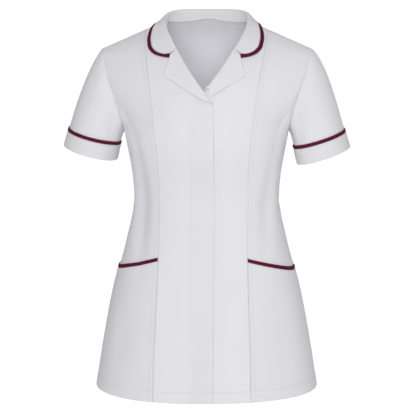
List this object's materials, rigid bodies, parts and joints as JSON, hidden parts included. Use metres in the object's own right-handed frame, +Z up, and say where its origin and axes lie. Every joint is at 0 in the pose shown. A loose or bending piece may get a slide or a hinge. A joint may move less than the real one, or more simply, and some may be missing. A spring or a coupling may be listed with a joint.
{
  "type": "medical tunic",
  "caption": "Women's short-sleeved healthcare tunic, filled out as worn: revere collar, princess-seamed fronts with a hidden fastening, hip pockets and contrast piping.",
  "frame": {"origin": "on the wearer, at the height of the high points of the shoulders, in the middle of the neck", "axes": "+Z up along the garment, -Y the front, +X the wearer's left"},
  "size_m": [0.5513, 0.294, 0.7278],
  "materials": {
    "cloth": "white polycotton twill, matt",
    "piping": "burgundy polycotton binding, matt"
  },
  "bodies": {
    "root": {"back": "cloth", "front_right_centre": "cloth", "front_left_centre": "cloth", "front_right_side": "cloth", "front_left_side": "cloth", "sleeve_right": "cloth", "sleeve_left": "cloth", "cuff_right": "cloth", "cuff_left": "cloth", "collar": "cloth", "lapel_right": "cloth", "lapel_left": "cloth", "pocket_right": "cloth", "pocket_left": "cloth", "collar_trim": "piping", "cuff_trim_right": "piping", "cuff_trim_left": "piping", "pocket_trim_right": "piping", "pocket_trim_left": "piping"}
  },
  "joints": []
}
